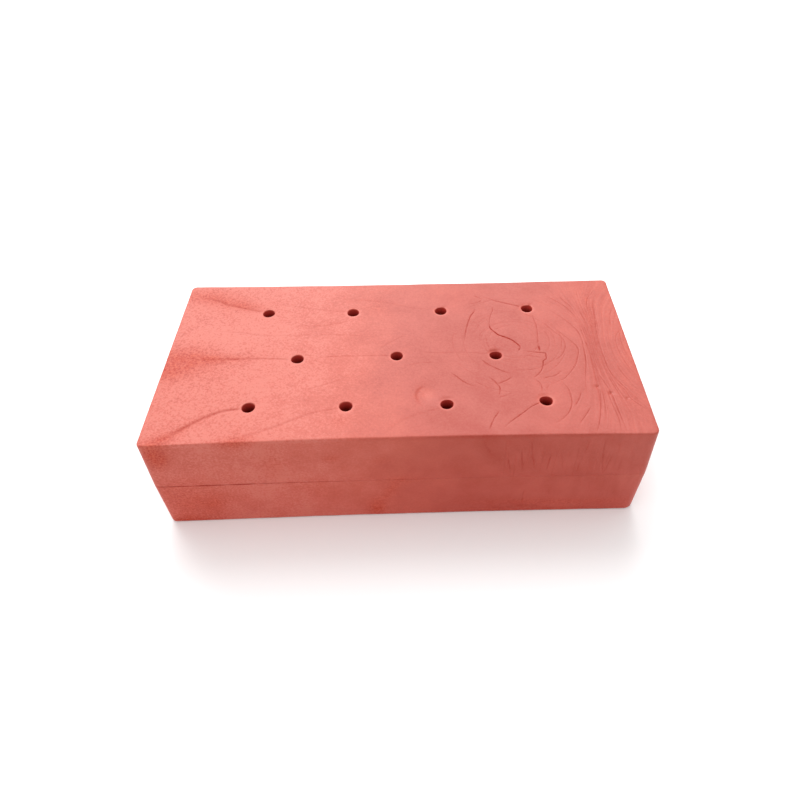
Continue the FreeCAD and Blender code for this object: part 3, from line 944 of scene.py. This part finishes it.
def wall_fields(points, normals):
    """How dark the lines and how red the stains are on the walls."""
    shade, stain_and_shade = np.zeros(len(points)), np.zeros(len(points))
    side_on = np.abs(normals[:, 0]) > np.abs(normals[:, 1])
    wall = np.where(side_on, np.where(normals[:, 0] > 0, RIGHT_WALL, LEFT_WALL),
                    np.where(normals[:, 1] > 0, BACK_WALL, FRONT_WALL))
    for number, lines in wall_lines().items():
        here = wall == number
        along = points[here, 1] if number in (RIGHT_WALL, LEFT_WALL) else points[here, 0]
        unrolled = np.stack([along, points[here, 2]], axis=1)
        shade[here] = lay_lines(unrolled, lines)
        if number == FRONT_WALL:
            stain_and_shade[here] = spots_at(unrolled, FRONT_STAINS)
    return shade, stain_and_shade


def build_slab(name, slab, lines):
    """A slab as a closed mesh, whose surface sinks where its lines, dents and swells say."""
    up = 1 if slab == "upper" else -1
    mesh = SlabMesh()
    seam_loop, face_loop = rounded_walls(mesh, slab)
    mouths, feet = pin_walls(mesh, slab)
    inner = keep_inside(face_points(lines), slab)
    loose = mesh.add(inner, THICKNESS[slab], follow_face=1.0)
    fill_between(mesh, face_loop, mouths, loose, flip=False)
    fill_between(mesh, seam_loop, feet, np.array([], dtype=int), flip=True)

    points = np.vstack(mesh.points)
    normals = np.vstack(mesh.normals)
    follow_face = np.concatenate(mesh.follow_face)
    follow_wall = np.concatenate(mesh.follow_wall)
    world = points.copy()
    world[:, 2] = SEAM_Z + up * points[:, 2]

    on_face, on_wall = follow_face > FOLLOWS, follow_wall > FOLLOWS
    shade, stain_and_shade, sunk = (np.zeros(len(points)) for _ in range(3))
    face_shade = lay_lines(points[on_face, :2], lines)
    face_sunk = LINE_DEPTH * face_shade + swell(world[on_face])
    if slab == "upper":
        face_sunk += dents(points[on_face, :2]) + mouth_depth(points[on_face, :2])
        stain_and_shade[on_face] = spots_at(points[on_face, :2], TOP_STAINS_AND_SHADE) * follow_face[on_face]
    shade[on_face] = face_shade * follow_face[on_face]
    sunk[on_face] = face_sunk
    wall_shade, wall_stain = wall_fields(world[on_wall], normals[on_wall])
    wall_shade = np.maximum(wall_shade, seam_shade(points[on_wall], points[on_wall, 2]))
    wall_sunk = LINE_DEPTH * wall_shade * (points[on_wall, 2] > SEAM_BAND) + swell(world[on_wall])
    shade[on_wall] = np.maximum(shade[on_wall], wall_shade * follow_wall[on_wall])
    stain_and_shade[on_wall] += wall_stain * follow_wall[on_wall]

    world[:, 2] -= up * sunk * follow_face
    world[on_wall, :2] -= normals[on_wall] * (wall_sunk * follow_wall[on_wall])[:, None]

    faces = mesh.faces if up > 0 else [face[::-1] for face in mesh.faces]
    data = bpy.data.meshes.new(name)
    data.from_pydata((world * MM).tolist(), [], faces)
    data.validate()
    data.shade_smooth()
    flow = swirl_flow(points[:, :2])
    fields = {
        "line": shade,
        "tone": tone_at(world),
        "bore": np.concatenate(mesh.bores),
        "rim_highlight": rim_highlight_at(points[:, :2]) * follow_face,
        "stain_and_shade": np.clip(stain_and_shade, 0, 1),
        "flow": flow,
        "swirl": np.clip((flow + SWIRL_LEAD) / SWIRL_LEAD, 0, 1),
    }
    for field, values in fields.items():
        layer = data.attributes.new(field, "FLOAT", "POINT")
        layer.data.foreach_set("value", values.astype(np.float32))
    piece = bpy.data.objects.new(name, data)
    bpy.context.scene.collection.objects.link(piece)
    return piece


# ---- materials

class Nodes:
    """A short way to add nodes to a material's or the world's tree and to link them."""

    def __init__(self, owner):
        self.tree = owner.node_tree

    def feed(self, node, inputs):
        """Links each of a node's inputs to a socket, or sets it to a value."""
        for socket, value in inputs.items():
            if isinstance(value, bpy.types.NodeSocket):
                self.tree.links.new(value, node.inputs[socket])
            else:
                node.inputs[socket].default_value = value
        return node

    def add(self, kind, inputs=None, **settings):
        node = self.tree.nodes.new(kind)
        for key, value in settings.items():
            setattr(node, key, value)
        return self.feed(node, inputs or {})

    def math(self, operation, a, b, clamp=False):
        return self.add("ShaderNodeMath", {0: a, 1: b}, operation=operation, use_clamp=clamp).outputs[0]

    def times(self, a, b):
        return self.math("MULTIPLY", a, b)

    def plus(self, a, b):
        return self.math("ADD", a, b)

    def attribute(self, name):
        return self.add("ShaderNodeAttribute", attribute_name=name).outputs["Fac"]

    def vector(self, x, y, z):
        return self.add("ShaderNodeCombineXYZ", {0: x, 1: y, 2: z}).outputs[0]

    def noise(self, vector, scale, detail, roughness):
        inputs = {"Vector": vector, "Scale": scale, "Detail": detail, "Roughness": roughness}
        return self.add("ShaderNodeTexNoise", inputs).outputs["Fac"]

    def span(self, value, low, high, to_low=0.0, to_high=1.0):
        inputs = {"Value": value, "From Min": low, "From Max": high, "To Min": to_low, "To Max": to_high}
        return self.add("ShaderNodeMapRange", inputs).outputs["Result"]

    def ramp(self, value, stops):
        node = self.add("ShaderNodeValToRGB", {0: value})
        elements = node.color_ramp.elements
        while len(elements) < len(stops):
            elements.new(1.0)
        for element, (position, colour) in zip(elements, stops):
            element.position = position
            element.color = colour
        return node.outputs["Color"]

    def mix(self, factor, a, b, blend="MIX"):
        inputs = {0: factor, 6: a, 7: b}
        return self.add("ShaderNodeMix", inputs, data_type="RGBA", blend_type=blend).outputs[2]


# The clay's colours, from its deepest to its palest parts, and those in its red patches and its lines,
# and the painted shade down its pin holes, dark red near the mouth and near black further down.
CLAY_TONES = [
    (0.0, (0.365, 0.042, 0.024, 1)),
    (0.2, (0.398, 0.064, 0.042, 1)),
    (0.35, (0.430, 0.076, 0.053, 1)),
    (0.65, (0.490, 0.0985, 0.068, 1)),
    (0.88, (0.538, 0.121, 0.089, 1)),
    (1.0, (0.565, 0.146, 0.110, 1)),
]
STAIN_TONES = [(0.0, (0.335, 0.006, 0.0, 1)), (1.0, (0.585, 0.113, 0.061, 1))]
# the lines' dark colour, which also paints the shade on one sunken far rim and along the dent's shaded side
LINE_AND_SHADE_COLOUR = (0.27, 0.014, 0.006, 1)
SHALLOW_BORE_SHADE, DEEP_BORE_SHADE = (0.50, 0.055, 0.042, 1), (0.19, 0.009, 0.003, 1)
FOOT_PAINTED_BOUNCE = 1.11         # painted bounce light from the floor: how much redder the walls are made near the resting face

# Noise in the clay: features to the millimetre, detail and roughness.
SPECKLE = (1.15, 2.0, 0.7)
CLUMPS = (0.3, 3.0, 0.6)
MOTTLE = (0.085, 2.0, 0.5)
BROAD = (0.03, 1.0, 0.5)
# The swirl's streaks, as noise over its width, and over millimetres along and down the block.
STREAKS = (1.0, 3.0, 0.65)
STREAKS_ACROSS, STREAKS_ALONG, STREAKS_DOWN = 9.0, 0.035, 0.05
# How far each noise moves the tone; the last two only where the clay is grainy.
BROAD_REACH, MOTTLE_REACH, SPECKLE_REACH, CLUMPS_REACH, STREAKS_REACH = 0.22, 0.3, 1.2, 0.3, 0.14
WALL_TO_TOP = (0.3, 0.8)    # upward part of the normal, from where walls end to where the top begins


def clay_material(name):
    """Moulded clay: pale and grainy on the left, darker, smoother and streaked on the right."""
    material = bpy.data.materials.new(name)
    material.use_nodes = True
    nodes = Nodes(material)
    place = nodes.add("ShaderNodeTexCoord").outputs["Object"]
    in_mm = nodes.add("ShaderNodeVectorMath", {0: place, 1: (1 / MM,) * 3}, operation="MULTIPLY").outputs[0]
    x, y, z = nodes.add("ShaderNodeSeparateXYZ", {0: in_mm}).outputs
    normal = nodes.add("ShaderNodeNewGeometry").outputs["True Normal"]
    upward = nodes.add("ShaderNodeSeparateXYZ", {0: normal}).outputs[2]
    names = ("line", "stain_and_shade", "flow", "swirl", "rim_highlight", "bore")
    line, stain_and_shade, flow, swirl, rim_highlight, bore = (nodes.attribute(name) for name in names)
    speckle, clumps, mottle, broad = (nodes.noise(in_mm, *look) for look in (SPECKLE, CLUMPS, MOTTLE, BROAD))
    across, along = nodes.times(flow, STREAKS_ACROSS), nodes.times(y, STREAKS_ALONG)
    streaks = nodes.noise(nodes.vector(across, along, nodes.times(z, STREAKS_DOWN)), *STREAKS)

    # how grainy: strongly on the left, more so in the red patches, and less at the front and on the walls
    leftness = nodes.math("POWER", nodes.span(x, 30.0, -75.0), 1.5)
    grain = nodes.span(leftness, 0.0, 1.0, 0.24, 1.0)
    grain = nodes.times(grain, nodes.span(y, -45.0, -10.0, 0.78, 1.0))
    grain = nodes.plus(grain, nodes.times(stain_and_shade, 0.4))
    grain = nodes.times(grain, nodes.span(upward, *WALL_TO_TOP, 0.64, 1.0))

    tone = nodes.attribute("tone")
    for pattern, reach in ((broad, BROAD_REACH), (mottle, MOTTLE_REACH)):
        tone = nodes.plus(tone, nodes.span(pattern, 0.0, 1.0, -reach, reach))
    for pattern, reach in ((speckle, SPECKLE_REACH), (clumps, CLUMPS_REACH)):
        tone = nodes.plus(tone, nodes.times(nodes.span(pattern, 0.0, 1.0, -reach, reach), grain))
    # painted highlight on the worn rims of the pin holes, strongest on their front side
    tone = nodes.plus(tone, nodes.times(rim_highlight, 0.6))
    tone = nodes.math("SUBTRACT", tone, nodes.times(stain_and_shade, 0.12))
    streaked = nodes.times(nodes.span(streaks, 0.3, 0.7, -STREAKS_REACH, STREAKS_REACH), swirl)
    streaked = nodes.times(streaked, nodes.span(upward, *WALL_TO_TOP, 0.45, 1.0))
    tone = nodes.math("SUBTRACT", tone, streaked, clamp=True)

    colour = nodes.ramp(tone, CLAY_TONES)
    redness = nodes.math("MULTIPLY", stain_and_shade, nodes.span(clumps, 0.3, 0.7, 0.6, 1.1), clamp=True)
    reds = nodes.plus(nodes.span(speckle, 0.3, 0.7, 0.0, 0.8), nodes.span(clumps, 0.2, 0.8, 0.0, 0.2))
    colour = nodes.mix(redness, colour, nodes.ramp(reds, STAIN_TONES))
    # the lines darken the clay; the same mix paints shade at one far rim and in the dent
    colour = nodes.mix(nodes.span(line, 0.03, 0.9, 0.0, 0.9), colour, LINE_AND_SHADE_COLOUR)
    # painted shade down the pin holes: darker red at the mouth, near black further down
    colour = nodes.mix(nodes.span(bore, 0.0, 0.8), colour, SHALLOW_BORE_SHADE)
    colour = nodes.mix(nodes.span(bore, 1.6, 5.4), colour, DEEP_BORE_SHADE)
    # painted bounce light from the floor: the walls grow redder towards the resting face
    painted_bounce = nodes.vector(nodes.span(z, 40.0, 2.0, 1.0, FOOT_PAINTED_BOUNCE), 1.0, 1.0)
    colour = nodes.mix(1.0, colour, painted_bounce, blend="MULTIPLY")

    # the top is shinier than the walls, most so at the front right; lines and pin holes hardly shine
    front_right = nodes.times(nodes.span(x, -20.0, 100.0), nodes.span(y, 50.0, -50.0))
    shine = nodes.span(upward, *WALL_TO_TOP, 0.14, 0.33)
    shine = nodes.times(shine, nodes.span(front_right, 0.0, 1.0, 1.0, 1.75))
    shine = nodes.times(shine, nodes.span(line, 0.0, 0.8, 1.0, 0.2))
    shine = nodes.times(shine, nodes.span(bore, 0.2, 1.0, 1.0, 0.1))
    relief = nodes.plus(nodes.times(speckle, grain), nodes.times(nodes.times(streaks, swirl), 0.8))
    bump = nodes.add("ShaderNodeBump", {"Strength": 0.6, "Distance": 0.2 * MM, "Height": relief})
    nodes.feed(material.node_tree.nodes["Principled BSDF"], {
        "Base Color": colour,
        "Specular IOR Level": shine,
        "Roughness": nodes.plus(nodes.span(broad, 0.3, 0.7, 0.42, 0.48), nodes.times(grain, 0.06)),
        "Normal": bump.outputs[0],
        "IOR": 1.45,
        "Subsurface Weight": 0.1,
        "Subsurface Radius": (1.0, 0.25, 0.18),
        "Subsurface Scale": 1.2 * MM,
    })
    return material


# ---- the studio

FLOOR_SIZE, FLOOR_GAP = 6000, 0.02
FLOOR_COLOUR = (0.93, 0.93, 0.93, 1)


def make_floor():
    """A wide pale floor just under the block."""
    height = LOWER_LOW[2] - FLOOR_GAP
    bpy.ops.mesh.primitive_plane_add(size=FLOOR_SIZE * MM, location=(0, 0, height * MM))
    floor = bpy.context.object
    floor.name = "floor"
    material = bpy.data.materials.new("pale_floor")
    material.use_nodes = True
    looks = {"Base Color": FLOOR_COLOUR, "Roughness": 0.9, "Specular IOR Level": 0.1}
    Nodes(material).feed(material.node_tree.nodes["Principled BSDF"], looks)
    floor.data.materials.append(material)


def add_light(name, place, target, size, power):
    """A square soft light that points at a target; lengths are in millimetres, power in watts."""
    light = bpy.data.lights.new(name, "AREA")
    light.size = size * MM
    light.energy = power
    lamp = bpy.data.objects.new(name, light)
    lamp.location = Vector(place) * MM
    lamp.visible_camera = False
    lamp.rotation_euler = (Vector(target) - Vector(place)).to_track_quat("-Z", "Y").to_euler()
    bpy.context.scene.collection.objects.link(lamp)


BLOCK_MIDDLE = (0, 0, 25)
SURROUND = 0.715            # strength of the white light from all round


def make_lights():
    """One wide soft light high behind the block, a weaker one above it, and a pale surround."""
    add_light("key", (-300, 1450, 1360), BLOCK_MIDDLE, size=2000, power=49.5)
    add_light("overhead", (0, -100, 1500), BLOCK_MIDDLE, size=1500, power=7.5)
    world = bpy.data.worlds.new("surround")
    world.use_nodes = True
    looks = {"Color": (1, 1, 1, 1), "Strength": SURROUND}
    Nodes(world).feed(world.node_tree.nodes["Background"], looks)
    bpy.context.scene.world = world


CAMERA_AT = (5.93, -212.57, 241.88)
CAMERA_AIM = (14.96, -22.43, 50.0)
CAMERA_ROLL = math.radians(0.62)
CAMERA_SENSOR, CAMERA_LENS = 36, 29.83
CAMERA_SHIFT_X, CAMERA_SHIFT_Y = -0.0475, -0.0149
CAMERA_NEAREST = 10


def make_camera():
    """A close, slightly rolled view from the front and above."""
    data = bpy.data.cameras.new("camera")
    data.sensor_width = CAMERA_SENSOR
    data.lens = CAMERA_LENS
    data.shift_x = CAMERA_SHIFT_X
    data.shift_y = CAMERA_SHIFT_Y
    data.clip_start = CAMERA_NEAREST * MM
    camera = bpy.data.objects.new("camera", data)
    aim = (Vector(CAMERA_AIM) - Vector(CAMERA_AT)).to_track_quat("-Z", "Y").to_matrix().to_4x4()
    roll = Matrix.Rotation(CAMERA_ROLL, 4, "Z")
    camera.matrix_world = Matrix.Translation(Vector(CAMERA_AT) * MM) @ aim @ roll
    bpy.context.scene.collection.objects.link(camera)
    bpy.context.scene.camera = camera


# ---- the scene

def make_slabs():
    """Each slab's moulded surface, in place of its plain solid."""
    for slab, lines in (("upper", top_lines()), ("lower", base_lines())):
        piece = build_slab(f"{slab}_slab_moulded", slab, lines)
        piece.data.materials.append(clay_material(f"{slab}_clay"))
        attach(piece, "root")
        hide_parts(f"{slab}_slab")


make_camera()
make_slabs()
make_floor()
make_lights()
bpy.context.scene.view_settings.view_transform = "Standard"
